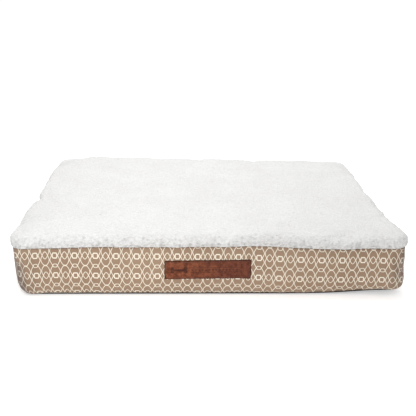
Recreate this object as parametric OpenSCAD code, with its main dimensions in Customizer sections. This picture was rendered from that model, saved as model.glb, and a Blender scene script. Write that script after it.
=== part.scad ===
// Rectangular orthopaedic pet bed: a foam core in a washable zipped cover.
// The cover has a pile-fleece top, a printed side band and a dark non-slip base.
// Millimetres, +Z up, origin at the middle of the underside.
// The patch faces -Y and the zip runs along the +Y side.

/* [Bed] */
// Width across the rolled fleece edge
bed_w = 914; // [760:2:1070]
// Depth across the rolled fleece edge
bed_d = 686; // [560:2:800]
// Height from the grip dots to the top of the fleece
bed_h = 150; // [140:1:170]
// Radius of the upright corners of the side band
corner_r = 34; // [30:1:50]

/* [Fleece top] */
// Height of the fleece roll above the side band
fleece_h = 23; // [20:0.5:26]
// How far the fleece roll stands out past the side band
fleece_overhang = 5; // [4:0.5:8]
// Thickness of the fleece panel over the core
fleece_t = 14; // [10:0.5:16]

/* [Side band] */
// Thickness of the printed cloth with its backing
cloth_t = 2.8; // [1.6:0.2:3.4]
// Radius of the band where it turns under the bed
hem_r = 14; // [10:1:20]

/* [Base] */
// Diameter of a grip dot
dot_d = 10; // [6:1:16]
// How far a grip dot stands out from the base cloth
dot_h = 0.8; // [0.4:0.1:1.2]
// Distance from dot to dot
dot_pitch = 58; // [40:1:80]

/* [Patch] */
// Width of the leather patch
patch_w = 204; // [120:1:260]
// Height of the leather patch
patch_h = 47; // [30:1:60]
// Thickness of the leather patch
patch_t = 1.8; // [1:0.1:2.6]
// Sideways offset of the patch from the middle of the front
patch_x = -6; // [-40:1:40]
// Height of the patch's middle
patch_z = 71; // [50:1:80]

/* [Zip] */
// Length of the coil chain
zip_len = 770; // [300:2:780]
// Gap between the two halves of the back strip
zip_gap = 14; // [12:1:20]
// Length of the pull tab from its hinge bar
tab_len = 27; // [18:1:32]

/* [Core] */
// Thickness of the firm support foam
base_foam_t = 70; // [55:1:80]
// Height of an egg-crate peg
peg_h = 26; // [16:1:30]
// Distance from peg to peg
peg_pitch = 62; // [50:1:80]

/* [Hidden] */
$fn = 64;

// Colours
fleece_white = "whitesmoke";
print_tan = "tan";
base_grey = "dimgray";
leather_brown = "sienna";
thread_brown = "saddlebrown";
zip_tan = "burlywood";
metal_grey = "silver";
foam_cream = "lemonchiffon";

// Levels and footprints
base_z = dot_h;
seam_z = bed_h - fleece_h;
band_w = bed_w - 2 * fleece_overhang;
band_d = bed_d - 2 * fleece_overhang;
back_y = band_d / 2;
run_x = band_w - 2 * corner_r;
run_y = band_d - 2 * corner_r;
fleece_roll_r = 14;
hollow_gap = 0.5;
dot_margin = 40;
cut = 1;

// Seam bindings
binding_t = 1.4;
binding_w = 12;
binding_ease = 4;

// Liner and foam, each a little smaller than what holds it
loose = 0.2;
liner_inset = 5.5;
liner_t = 1.2;
mouth_w = 500;
mouth_h = 2;
mouth_cut = 20;
liner_edge_low = 12;
liner_edge_high = 8;
liner_w = band_w - 2 * liner_inset;
liner_d = band_d - 2 * liner_inset;
liner_r = corner_r - liner_inset;
liner_z0 = base_z + cloth_t + binding_t + loose;
liner_z1 = bed_h - fleece_t - 3 * loose;
core_gap = 0.4;
foam_edge_low = 11;
foam_edge = 1;
foam_inset = liner_t + core_gap;
foam_w = liner_w - 2 * foam_inset;
foam_d = liner_d - 2 * foam_inset;
foam_r = liner_r - foam_inset;
foam_z0 = liner_z0 + foam_inset;
foam_z1 = foam_z0 + base_foam_t;
crate_slab_t = 14;
peg_r_foot = 22;
peg_r_tip = 10;
peg_z0 = foam_z1 + loose + crate_slab_t;
wadding_z0 = peg_z0 + peg_h + core_gap;
wadding_z1 = liner_z1 - foam_inset;

// Zip, across the back face
zip_z = (base_z + seam_z) / 2;
slit = 1.6;
chain_w = 6.4;
coil_t = 2.4;
tape_t = 0.8;
tape_w = 17;
tape_y = back_y - cloth_t - tape_t;
coil_y = back_y - cloth_t;
clear = 0.3;
stop_w = 3;

// Slider and pull tab
slider_len = 11;
plate_t = 1.2;
flange_t = 1.2;
slider_w = chain_w + 2 * (clear + flange_t);
slider_start = 3.5;
slider_x = -(zip_len / 2 - slider_len / 2 - slider_start);
top_plate_y = coil_y + coil_t + clear;
bottom_plate_t = 1.1;
bottom_plate_y = tape_y - clear - bottom_plate_t;
post_len = 3;
bite = 0.5;
bar_d = 1.3;
hinge_lift = 0.9;
hinge_y = top_plate_y + plate_t + hinge_lift;
crown_w = 1.8;
crown_leg = 1.2;
crown_span = 4.8;
crown_room = 1.8;
tab_t = 1.2;
tab_w = 6.8;
tab_window = 5;
tab_hole_d = 3;

// Stitches
stitch_in = 4;
stitch_w = 0.6;
stitch_h = 0.4;
stitch_share = 0.75;
topstitch_out = 2.5;
topstitch_end = 5;

// Plate with round upright corners, from z0 to z1.
module rounded_plate(w, d, r, z0, z1) {
    translate([0, 0, z0])
    linear_extrude(height = z1 - z0)
    rounded_outline(w, d, r);
}

// Rectangle with round corners.
module rounded_outline(w, d, r) {
    square([w - 2 * r, d], center = true);
    square([w, d - 2 * r], center = true);
    for (sx = [-1, 1], sy = [-1, 1])
        translate([sx * (w / 2 - r), sy * (d / 2 - r)])
        circle(r = r);
}

// Quarter of a disc, towards +X and towards +Y for up = 1 or -Y for up = -1.
module quarter_disc(r, up) {
    intersection() {
        circle(r = r);
        translate([0, up > 0 ? 0 : -r]) square([r, r]);
    }
}

// Rim of a pad: r wide with its face at x = 0, rounded by e0 below and e1 above.
module rim_section(r, z0, z1, e0, e1) {
    translate([-r, z0 + e0]) square([r, z1 - z0 - e0 - e1]);
    translate([-r, z0]) square([r - e0, e0]);
    translate([-r, z1 - e1]) square([r - e1, e1]);
    translate([-e0, z0 + e0]) quarter_disc(e0, -1);
    translate([-e1, z1 - e1]) quarter_disc(e1, 1);
}

// Solid pad with upright corners of radius r and rolled lower and upper edges.
module pad(w, d, r, z0, z1, e0, e1) {
    translate([r - w / 2, r - d / 2, z0]) cube([w - 2 * r, d - 2 * r, z1 - z0]);
    for (turn = [0:3]) {
        long = turn % 2 == 0 ? w : d;
        wide = turn % 2 == 0 ? d : w;
        rotate(90 * turn) {
            translate([long / 2, 0, 0])
            rotate([90, 0, 0])
            linear_extrude(height = wide - 2 * r, center = true)
            rim_section(r, z0, z1, e0, e1);
            translate([long / 2 - r, wide / 2 - r, 0])
            rotate_extrude(angle = 90)
            translate([r, 0])
            rim_section(r, z0, z1, e0, e1);
        }
    }
}

// Section of the side band: an upright wall that turns under at its foot. The wall's face is at x = 0.
module band_section(top_z) {
    foot_z = base_z + hem_r;
    translate([-cloth_t, foot_z]) square([cloth_t, top_z - foot_z]);
    translate([-hem_r, foot_z])
    difference() {
        quarter_disc(hem_r, -1);
        circle(r = hem_r - cloth_t);
    }
}

// Straight stretch of side band that faces +X.
module band_wall(length, top_z) {
    rotate([90, 0, 0])
    linear_extrude(height = length, center = true)
    band_section(top_z);
}

module fleece_top() {
    color(fleece_white)
    difference() {
        pad(bed_w, bed_d, corner_r + fleece_overhang, seam_z, bed_h, fleece_overhang, fleece_roll_r);
        rounded_plate(
            liner_w + 2 * hollow_gap, liner_d + 2 * hollow_gap, liner_r + hollow_gap,
            seam_z - cut, bed_h - fleece_t
        );
    }
}

// One strip of printed cloth that covers the front, both sides and all four corners.
module boxing_strip() {
    color(print_tan) {
        translate([band_w / 2, 0, 0]) band_wall(run_y, seam_z);
        rotate(180) translate([band_w / 2, 0, 0]) band_wall(run_y, seam_z);
        rotate(-90) translate([band_d / 2, 0, 0]) band_wall(run_x, seam_z);
        for (turn = [0:3]) {
            long = turn % 2 == 0 ? band_w : band_d;
            wide = turn % 2 == 0 ? band_d : band_w;
            rotate(90 * turn)
            translate([long / 2 - corner_r, wide / 2 - corner_r, 0])
            rotate_extrude(angle = 90)
            translate([corner_r, 0])
            band_section(seam_z);
        }
    }
}

module back_strip_upper() {
    color(print_tan)
    translate([-run_x / 2, back_y - cloth_t, zip_z + zip_gap / 2])
    cube([run_x, cloth_t, seam_z - zip_z - zip_gap / 2]);
}

module back_strip_lower() {
    color(print_tan)
    rotate(90)
    translate([band_d / 2, 0, 0])
    band_wall(run_x, zip_z - zip_gap / 2);
}

module bottom_panel() {
    color(base_grey)
    rounded_plate(band_w - 2 * hem_r, band_d - 2 * hem_r, corner_r - hem_r, base_z, base_z + cloth_t);
}

module grip_dots() {
    columns = floor((band_w - 2 * dot_margin) / dot_pitch / 2);
    rows = floor((band_d - 2 * dot_margin) / dot_pitch / 2);
    color("black")
    for (i = [-columns:columns], j = [-rows:rows])
        translate([i * dot_pitch, j * dot_pitch, 0])
        cylinder(h = dot_h, d = dot_d, $fn = 24);
}

module top_seam_binding() {
    face = cloth_t;
    color(base_grey)
    difference() {
        rounded_plate(band_w - 2 * face, band_d - 2 * face, corner_r - face, seam_z - binding_w, seam_z);
        rounded_plate(
            band_w - 2 * (face + binding_t), band_d - 2 * (face + binding_t),
            corner_r - face - binding_t, seam_z - binding_w - cut, seam_z + cut
        );
    }
}

module bottom_seam_binding() {
    outer_in = hem_r;
    inner_in = hem_r + binding_w;
    binding_z = base_z + cloth_t;
    color(base_grey)
    difference() {
        rounded_plate(
            band_w - 2 * outer_in, band_d - 2 * outer_in, corner_r - outer_in,
            binding_z, binding_z + binding_t
        );
        rounded_plate(
            band_w - 2 * inner_in, band_d - 2 * inner_in, corner_r - outer_in - binding_ease,
            binding_z - cut, binding_z + binding_t + cut
        );
    }
}

module leather_patch() {
    patch_corner_r = 3;
    color(leather_brown)
    translate([patch_x, -band_d / 2, patch_z])
    rotate([90, 0, 0])
    linear_extrude(height = patch_t)
    rounded_outline(patch_w, patch_h, patch_corner_r);
}

// A row of stitches along +X, centred on the origin.
module stitch_row(length, pitch) {
    count = floor(length / pitch);
    for (i = [0:count - 1])
        translate([(i - (count - 1) / 2) * pitch, 0, 0])
        cube([pitch * stitch_share, stitch_w, stitch_h], center = true);
}

module patch_stitching() {
    pitch = 4;
    half_w = patch_w / 2 - stitch_in;
    half_h = patch_h / 2 - stitch_in;
    color(thread_brown)
    translate([patch_x, -band_d / 2 - patch_t - stitch_h / 2, patch_z])
    rotate([90, 0, 0])
    for (s = [-1, 1]) {
        translate([0, s * half_h, 0]) stitch_row(2 * half_w, pitch);
        translate([s * half_w, 0, 0]) rotate(90) stitch_row(2 * half_h - pitch, pitch);
    }
}

// Blank sewn-in label that hangs from the top seam at the back.
module care_label() {
    label_w = 35;
    label_h = 40;
    label_t = 0.6;
    label_x = 240;
    color("white")
    translate([label_x, back_y, seam_z - label_h])
    cube([label_w, label_t, label_h]);
}

// One side of the zip, on the upper side for s = 1 and on the lower side for s = -1.
module zip_side(s, near, wide, y, thick, length) {
    translate([-length / 2, y, zip_z + (s > 0 ? near : -near - wide)])
    cube([length, thick, wide]);
}

module zipper_tape_upper() {
    color(zip_tan) zip_side(1, slit / 2, tape_w, tape_y, tape_t, run_x);
}

module zipper_tape_lower() {
    color(zip_tan) zip_side(-1, slit / 2, tape_w, tape_y, tape_t, run_x);
}

module zipper_coil_upper() {
    color(zip_tan) zip_side(1, slit / 2, (chain_w - slit) / 2, coil_y, coil_t, zip_len);
}

module zipper_coil_lower() {
    color(zip_tan) zip_side(-1, slit / 2, (chain_w - slit) / 2, coil_y, coil_t, zip_len);
}

module zipper_stops() {
    color(metal_grey)
    for (s = [-1, 1])
        translate([s * (zip_len / 2 + stop_w / 2), coil_y + coil_t / 2, zip_z])
        cube([stop_w, coil_t, chain_w], center = true);
}

// Cloth tabs that close the gap in the back strip past each end of the zip.
module zipper_end_tabs() {
    inner_x = zip_len / 2 + stop_w;
    color(print_tan)
    for (s = [-1, 1])
        translate([s * (inner_x + run_x / 2) / 2, back_y - cloth_t / 2, zip_z])
        cube([run_x / 2 - inner_x, cloth_t, zip_gap], center = true);
}

module zipper_topstitching() {
    pitch = 8;
    color(zip_tan)
    for (s = [-1, 1])
        translate([0, back_y + stitch_h / 2, zip_z + s * (zip_gap / 2 + topstitch_out)])
        rotate([90, 0, 0])
        stitch_row(run_x - 2 * topstitch_end, pitch);
}

// Slider: two plates round the chain, a post in the slit and a crown for the pull tab.
module zipper_slider() {
    crown_x = crown_span + 2 * crown_leg;
    flange_z = chain_w / 2 + clear;
    color(metal_grey)
    translate([slider_x, 0, zip_z]) {
        translate([-slider_len / 2, top_plate_y, -slider_w / 2])
        cube([slider_len, plate_t, slider_w]);
        translate([-slider_len / 2, bottom_plate_y, -slider_w / 2])
        cube([slider_len, bottom_plate_t, slider_w]);
        translate([-slider_len / 2, bottom_plate_y + bite, -(slit - 2 * clear) / 2])
        cube([post_len, top_plate_y - bottom_plate_y, slit - 2 * clear]);
        for (z = [-flange_z - flange_t, flange_z])
            translate([-slider_len / 2, coil_y + clear, z])
            cube([slider_len, coil_t + clear, flange_t]);
        difference() {
            translate([-crown_x / 2, top_plate_y + plate_t - bite, -crown_w / 2])
            cube([crown_x, crown_room + crown_leg + bite, crown_w]);
            translate([-crown_span / 2, top_plate_y + plate_t, -crown_w])
            cube([crown_span, crown_room, 2 * crown_w]);
        }
    }
}

// Pull tab: a plate with a window round the crown and a round hinge bar through it.
module zipper_pull_tab() {
    arm_z = crown_w / 2 + clear;
    color(metal_grey)
    translate([slider_x, hinge_y, zip_z]) {
        translate([0, 0, -tab_w / 2]) cylinder(h = tab_w, d = bar_d, $fn = 32);
        rotate([90, 0, 0])
        linear_extrude(height = tab_t, center = true)
        difference() {
            union() {
                translate([-tab_len + tab_w / 2, -tab_w / 2]) square([tab_len - tab_w / 2, tab_w]);
                translate([-tab_len + tab_w / 2, 0]) circle(d = tab_w);
            }
            translate([-tab_window, -arm_z]) square([tab_window + cut, 2 * arm_z]);
            translate([-tab_len + tab_w / 2, 0]) circle(d = tab_hole_d);
        }
    }
}

// Thin moisture-resistant bag that holds the foam, with a slit mouth at the back.
module inner_liner() {
    color("gainsboro")
    difference() {
        pad(liner_w, liner_d, liner_r, liner_z0, liner_z1, liner_edge_low, liner_edge_high);
        pad(
            liner_w - 2 * liner_t, liner_d - 2 * liner_t, liner_r - liner_t,
            liner_z0 + liner_t, liner_z1 - liner_t, liner_edge_low - 1, liner_edge_high - 1
        );
        translate([0, liner_d / 2, zip_z])
        cube([mouth_w, mouth_cut, mouth_h], center = true);
    }
}

module foam_base() {
    color(foam_cream)
    pad(foam_w, foam_d, foam_r, foam_z0, foam_z1, foam_edge_low, foam_edge);
}

// Pressure-relief foam: a slab with a field of tapered pegs.
module foam_egg_crate() {
    columns = floor((foam_w - 2 * peg_r_foot) / peg_pitch / 2);
    rows = floor((foam_d - 2 * peg_r_foot) / peg_pitch / 2);
    color(foam_cream) {
        rounded_plate(foam_w, foam_d, foam_r, peg_z0 - crate_slab_t, peg_z0);
        for (i = [-columns:columns], j = [-rows:rows])
            translate([i * peg_pitch, j * peg_pitch, peg_z0 - cut])
            cylinder(h = peg_h + cut, r1 = peg_r_foot, r2 = peg_r_tip, $fn = 32);
    }
}

module fibre_wadding() {
    color("white")
    pad(foam_w, foam_d, foam_r, wadding_z0, wadding_z1, foam_edge, liner_edge_high);
}

fleece_top();
boxing_strip();
back_strip_upper();
back_strip_lower();
bottom_panel();
grip_dots();
top_seam_binding();
bottom_seam_binding();
leather_patch();
patch_stitching();
care_label();
zipper_tape_upper();
zipper_tape_lower();
zipper_coil_upper();
zipper_coil_lower();
zipper_stops();
zipper_end_tabs();
zipper_topstitching();
zipper_slider();
zipper_pull_tab();
inner_liner();
foam_base();
foam_egg_crate();
fibre_wadding();
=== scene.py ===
"""Looks of a rectangular pet bed: fleece top, printed side band, leather patch and a zipped back.

Lengths are in metres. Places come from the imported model's boxes.
"""
import math

import bmesh
import bpy
import numpy as np
from mathutils import Matrix, Vector


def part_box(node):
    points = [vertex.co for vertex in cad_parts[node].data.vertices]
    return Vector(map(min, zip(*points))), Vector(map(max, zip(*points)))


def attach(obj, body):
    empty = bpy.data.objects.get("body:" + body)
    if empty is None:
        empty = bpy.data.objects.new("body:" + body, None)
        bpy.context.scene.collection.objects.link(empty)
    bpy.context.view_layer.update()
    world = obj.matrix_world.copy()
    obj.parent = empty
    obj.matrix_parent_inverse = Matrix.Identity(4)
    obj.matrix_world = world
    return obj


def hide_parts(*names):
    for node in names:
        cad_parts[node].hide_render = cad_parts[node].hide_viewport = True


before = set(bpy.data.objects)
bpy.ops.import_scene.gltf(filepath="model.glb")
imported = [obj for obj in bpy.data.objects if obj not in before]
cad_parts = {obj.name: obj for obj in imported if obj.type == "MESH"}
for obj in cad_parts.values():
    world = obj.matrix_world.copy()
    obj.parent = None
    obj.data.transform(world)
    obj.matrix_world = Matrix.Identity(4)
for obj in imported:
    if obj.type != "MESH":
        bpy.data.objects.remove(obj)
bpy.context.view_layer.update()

MM = 0.001

# ---- camera, floor and light

CAMERA_PLACE = (-0.066, -1.780, 0.748)
LOOK_DOWN = math.radians(19.96)
LOOK_RIGHT = math.radians(2.31)
CAMERA_ROLL = math.radians(0.96)
LENS_MM = 58.1


def make_camera():
    data = bpy.data.cameras.new("camera")
    data.lens = LENS_MM
    data.sensor_width = 36.0
    data.clip_end = 50.0
    camera = bpy.data.objects.new("camera", data)
    bpy.context.collection.objects.link(camera)
    turn = Matrix.Rotation(-LOOK_RIGHT, 4, "Z") @ Matrix.Rotation(math.pi / 2 - LOOK_DOWN, 4, "X")
    camera.matrix_world = Matrix.Translation(CAMERA_PLACE) @ turn @ Matrix.Rotation(CAMERA_ROLL, 4, "Z")
    bpy.context.scene.camera = camera


def area_light(name, place, target, size, power):
    data = bpy.data.lights.new(name, "AREA")
    data.shape = "DISK"
    data.size = size
    data.energy = power
    light = bpy.data.objects.new(name, data)
    light.visible_camera = False
    light.location = place
    light.rotation_euler = (Vector(target) - Vector(place)).to_track_quat("-Z", "Y").to_euler()
    bpy.context.collection.objects.link(light)


# Each light's name, place, target, size in metres and power in watts.
LIGHTS = (
    ("front", (-0.22, -0.90, 0.42), (-0.20, -0.34, 0.06), 0.3, 1.5),
    ("top", (0.1, 0.4, 1.7), (0, 0.05, 0.1), 1.2, 16.2),
    ("left", (-0.45, 0.0, 1.1), (-0.3, 0, 0.1), 0.8, 1.9),
)
# The room is white below the first height on the unit sphere, and at this level above the second one.
SKY_FADE = (0.22, 0.45)
SKY_LEVEL = 0.64
FLOOR_HALF = 30
FLOOR_GLOW = 0.39
RANGE_KEYS = ("From Min", "From Max", "To Min", "To Max")


def make_studio():
    """Soft lights over and in front of the bed, in a room that is white near the floor and dimmer above."""
    world = bpy.data.worlds.new("studio")
    world.use_nodes = True
    tree = world.node_tree
    split = tree.nodes.new("ShaderNodeSeparateXYZ")
    fade = tree.nodes.new("ShaderNodeMapRange")
    for key, number in zip(RANGE_KEYS, (*SKY_FADE, 1.0, SKY_LEVEL)):
        fade.inputs[key].default_value = number
    tree.links.new(tree.nodes.new("ShaderNodeTexCoord").outputs["Generated"], split.inputs[0])
    tree.links.new(split.outputs["Z"], fade.inputs["Value"])
    tree.links.new(fade.outputs["Result"], tree.nodes["Background"].inputs["Strength"])
    tree.nodes["Background"].inputs["Color"].default_value = (1.0, 1.0, 1.0, 1.0)
    bpy.context.scene.world = world
    bpy.context.scene.view_settings.view_transform = "Standard"
    for light in LIGHTS:
        area_light(*light)

    half = FLOOR_HALF
    mesh = bpy.data.meshes.new("floor")
    corners = [(-half, -half, 0), (half, -half, 0), (half, half, 0), (-half, half, 0)]
    mesh.from_pydata(corners, [], [(0, 1, 2, 3)])
    floor = bpy.data.objects.new("floor", mesh)
    bpy.context.collection.objects.link(floor)
    floor.data.materials.append(plain_floor())


# ---- shader helpers

class Shader:
    """A material's node tree, with short calls for the nodes that the materials share."""

    def __init__(self, name):
        self.material = bpy.data.materials.new(name)
        self.material.use_nodes = True
        self.tree = self.material.node_tree
        self.surface = self.tree.nodes["Principled BSDF"]

    def node(self, kind, **settings):
        node = self.tree.nodes.new(kind)
        for key, value in settings.items():
            setattr(node, key, value)
        return node

    def link(self, value, socket):
        """Joins a node's output to a socket, or sets the socket to a number or a colour."""
        if isinstance(value, bpy.types.NodeSocket):
            self.tree.links.new(value, socket)
        else:
            socket.default_value = (*value, 1.0) if isinstance(value, tuple) else value

    def math(self, operation, *values):
        node = self.node("ShaderNodeMath", operation=operation)
        for value, socket in zip(values, node.inputs):
            self.link(value, socket)
        return node.outputs[0]

    def noise(self, scale, detail=2.0, roughness=0.5, vector=None):
        node = self.node("ShaderNodeTexNoise")
        node.inputs["Scale"].default_value = scale
        node.inputs["Detail"].default_value = detail
        node.inputs["Roughness"].default_value = roughness
        self.link(vector or self.place(), node.inputs["Vector"])
        return node.outputs["Fac"]

    def cells(self, scale, feature="F1", vector=None):
        node = self.node("ShaderNodeTexVoronoi", feature=feature)
        node.inputs["Scale"].default_value = scale
        self.link(vector or self.place(), node.inputs["Vector"])
        return node.outputs["Distance"]

    def place(self):
        return self.node("ShaderNodeTexCoord").outputs["Object"]

    def ramp(self, value, low, high, out_low=0.0, out_high=1.0):
        node = self.node("ShaderNodeMapRange", interpolation_type="SMOOTHSTEP")
        for key, number in zip(RANGE_KEYS, (low, high, out_low, out_high)):
            self.link(number, node.inputs[key])
        self.link(value, node.inputs["Value"])
        return node.outputs["Result"]

    def blend(self, share, first, second):
        node = self.node("ShaderNodeMix", data_type="RGBA")
        self.link(share, node.inputs["Factor"])
        self.link(first, node.inputs["A"])
        self.link(second, node.inputs["B"])
        return node.outputs["Result"]

    def tone(self, dark, light, *noise, low=0.3, high=0.7, **options):
        """A colour that drifts between two."""
        return self.blend(self.ramp(self.noise(*noise, **options), low, high), dark, light)

    def stain(self, colour, tint, mask, share):
        """A colour that moves that share of the way to a tint where the mask is 1."""
        return self.blend(self.math("MULTIPLY", mask, share), colour, tint)

    def attribute(self, name):
        return self.node("ShaderNodeAttribute", attribute_name=name).outputs["Fac"]

    def split(self, vector):
        node = self.node("ShaderNodeSeparateXYZ")
        self.link(vector, node.inputs[0])
        return node.outputs

    def bump(self, height, depth, strength=1.0, under=None):
        node = self.node("ShaderNodeBump")
        node.inputs["Distance"].default_value = depth
        node.inputs["Strength"].default_value = strength
        self.link(height, node.inputs["Height"])
        if under:
            self.link(under, node.inputs["Normal"])
        return node.outputs["Normal"]

    def finish(self, colour, roughness, normal=None, **sockets):
        self.link(colour, self.surface.inputs["Base Color"])
        self.link(roughness, self.surface.inputs["Roughness"])
        if normal:
            self.link(normal, self.surface.inputs["Normal"])
        for key, value in sockets.items():
            self.surface.inputs[key.replace("_", " ")].default_value = value
        return self.material


def plain_floor():
    s = Shader("floor")
    colour = s.tone((0.93, 0.93, 0.93), (0.95, 0.95, 0.95), 2.0)
    glow = {"Emission_Color": (1, 1, 1, 1), "Emission_Strength": FLOOR_GLOW}
    return s.finish(colour, 0.9, Specular_IOR_Level=0.1, **glow)


# ---- materials
# Colours are linear. Noise and cell scales are repeats per metre, and bump depths are metres.

def fleece_material(name="fleece_pile"):
    """White curly pile with a fine fibre haze, with painted shade between the curls and where the mesh's
    pile-shade number is high.
    """
    s = Shader(name)
    curl = s.ramp(s.cells(210.0), 0.15, 0.75)
    colour = s.tone((0.70, 0.695, 0.683), (0.735, 0.735, 0.728), 9.0, 3.0)
    # Painted shade between the curls.
    colour = s.stain(colour, (0.50, 0.495, 0.485), curl, 0.22)
    # Painted shade in the pile's valleys, on the roll and along the rim by the seam, from the mesh's number.
    colour = s.stain(colour, (0.26, 0.25, 0.24), s.attribute("pile_shade"), 0.8)
    lumps = s.bump(s.math("SUBTRACT", 1.0, curl), 0.0016, 0.5)
    fibres = s.bump(s.noise(1500.0, 3.0, 0.7), 0.0006, 0.5, lumps)
    return s.finish(colour, 0.95, fibres, Sheen_Weight=0.35, Sheen_Roughness=0.6, Specular_IOR_Level=0.15)


# The print repeats two kinds of column, one half a step from the other.
COLUMN_STEP = 48.5 * MM
ROW_STEP = 49.7 * MM
LINE_HALF = 0.73 * MM
LINE_BLUR = 0.2 * MM
LINE_WOBBLE = 0.4 * MM
ROUNDING = 2.0 * MM


def sides_through(middle, *points):
    """Direction and reach of straight sides through pairs of points in mm, facing away from (0, middle)."""
    sides = []
    for x0, y0, x1, y1 in points:
        dx, dy = x1 - x0, y1 - y0
        size = math.hypot(dx, dy)
        nx, ny = dy / size, -dx / size
        if nx * x0 + ny * (y0 - middle) < 0:
            nx, ny = -nx, -ny
        sides.append((nx, ny, (nx * x0 + ny * y0) * MM))
    return sides


# Right halves of the loops, with heights measured from the level where a loop crosses its mirror image.
HEXAGON = sides_through(
    11.0,
    (12.1, 0, 12.1, 1), (12.1, 13.0, 5.8, 24.9), (0, 28.8, 1, 28.8),
    (12.1, 9.4, 4.2, -6.65), (0, -6.65, 1, -6.65),
)
EGG = sides_through(
    8.0,
    (10.35, 0, 10.35, 1), (10.35, 7.8, 3.8, -6.0), (3.8, -6.0, 0, -9.4), (0, -8.8, 1, -8.8),
    (10.35, 12.8, 8.9, 17.0), (8.9, 17.0, 4.6, 22.9), (0, 24.0, 1, 24.0),
)
BOX = sides_through(0.0, (4.9, 0, 4.9, 1), (0, 5.4, 1, 5.4))


def print_loop(s, across, height, sides):
    """Distance to one loop's outline."""
    distance = None
    for nx, ny, reach in sides:
        side = s.math("MULTIPLY_ADD", across, nx, -reach)
        side = s.math("MULTIPLY_ADD", height, ny, side)
        distance = side if distance is None else s.math("SMOOTH_MAX", distance, side, ROUNDING)
    return s.math("ABSOLUTE", distance)


def folded(s, value, step):
    """Distance to the nearest multiple of step."""
    return s.math("ABSOLUTE", s.math("SUBTRACT", value, s.math("SNAP", s.math("ADD", value, step / 2), step)))


def print_lines(s, across, along):
    """1 on the print's lines and 0 between them, from cloth coordinates in metres."""
    height = folded(s, along, ROW_STEP)
    below = s.math("MULTIPLY", height, -1.0)
    hexagons = folded(s, across, COLUMN_STEP)
    eggs = s.math("SUBTRACT", COLUMN_STEP / 2, hexagons)
    from_next = s.math("SUBTRACT", ROW_STEP, height)
    loops = [print_loop(s, hexagons, h, HEXAGON) for h in (height, below, from_next)]
    loops += [print_loop(s, eggs, h, EGG) for h in (height, below)]
    loops.append(print_loop(s, hexagons, height, BOX))
    nearest = loops[0]
    for loop in loops[1:]:
        nearest = s.math("MINIMUM", nearest, loop)
    return s.ramp(nearest, LINE_HALF - LINE_BLUR, LINE_HALF + LINE_BLUR, 1.0, 0.0)


def weave(s, across, along, thread):
    """Height of a plain weave with threads that far apart."""
    turn = math.pi / thread
    warp = s.math("ABSOLUTE", s.math("SINE", s.math("MULTIPLY", across, turn)))
    weft = s.math("ABSOLUTE", s.math("SINE", s.math("MULTIPLY", along, turn)))
    return s.math("MAXIMUM", warp, weft)


def print_material():
    """Tan cloth with a cream print of linked loops, darker where the mesh's "shaded" number is high."""
    s = Shader("printed_cloth")
    uv = s.node("ShaderNodeUVMap", uv_map="cloth").outputs["UV"]
    cloth = s.split(uv)
    across, along = cloth["X"], cloth["Y"]
    wobble = s.math("MULTIPLY_ADD", s.noise(40.0, 1.0, vector=uv), 2 * LINE_WOBBLE, -LINE_WOBBLE)
    lines = print_lines(s, s.math("ADD", across, wobble), s.math("ADD", along, wobble))
    threads = weave(s, across, along, 0.7 * MM)
    ground = s.tone((0.280, 0.188, 0.124), (0.334, 0.231, 0.157), 6.0, 3.0, high=0.75, vector=uv)
    ground = s.stain(ground, (0.20, 0.13, 0.085), s.noise(900.0, 2.0, vector=uv), 0.35)
    ink = s.stain((0.79, 0.73, 0.61), (0.61, 0.54, 0.43), s.noise(700.0, 2.0, vector=uv), 0.3)
    in_shade = s.blend(lines, (0.07, 0.05, 0.05), (0.30, 0.26, 0.24))
    colour = s.blend(s.attribute("shaded"), s.blend(lines, ground, ink), in_shade)
    normal = s.bump(s.math("ADD", threads, s.math("MULTIPLY", lines, 0.5)), 0.00018, 0.6)
    return s.finish(colour, 0.82, normal, Sheen_Weight=0.12, Sheen_Roughness=0.5, Specular_IOR_Level=0.25)


def cloth_material(name, dark, light, thread, roughness=0.85, depth=0.0002):
    """Plain woven cloth, its weave laid by object position."""
    s = Shader(name)
    spot = s.split(s.place())
    threads = weave(s, spot["X"], s.math("ADD", spot["Y"], spot["Z"]), thread)
    colour = s.stain(s.tone(dark, light, 14.0, 4.0), dark, threads, 0.25)
    return s.finish(colour, roughness, s.bump(threads, depth, 0.6), Sheen_Weight=0.1, Specular_IOR_Level=0.25)


def leather_material():
    """Reddish-brown patch with a fine grain, darker to the right, at its edge and where it is pressed."""
    s = Shader("patch_leather")
    grain = s.cells(900.0, "DISTANCE_TO_EDGE")
    mottle = s.ramp(s.noise(120.0, 4.0, 0.65), 0.32, 0.68)
    colour = s.blend(mottle, (0.088, 0.023, 0.010), (0.235, 0.070, 0.030))
    toned = s.ramp(s.split(s.place())["X"], PATCH_LOW[0], PATCH_HIGH[0], 0.0, 0.5)
    colour = s.blend(toned, colour, (0.070, 0.018, 0.013))
    colour = s.stain(colour, (0.035, 0.010, 0.006), s.attribute("pressed"), 0.75)
    creases = s.bump(s.ramp(grain, 0.0, 0.25), 0.00018, 0.5)
    normal = s.bump(s.noise(300.0, 3.0), 0.0003, 0.3, creases)
    return s.finish(colour, s.ramp(mottle, 0.0, 1.0, 0.7, 0.55), normal, Specular_IOR_Level=0.15)


def thread_material(name, dark, light):
    """Twisted sewing thread."""
    s = Shader(name)
    wave = s.node("ShaderNodeTexWave", wave_type="BANDS", bands_direction="DIAGONAL")
    wave.inputs["Scale"].default_value = 900.0
    s.link(s.place(), wave.inputs["Vector"])
    colour = s.blend(s.ramp(wave.outputs["Fac"], 0.2, 0.8), dark, light)
    return s.finish(colour, 0.55, s.bump(wave.outputs["Fac"], 0.0001, 0.5), Sheen_Weight=0.15)


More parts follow.
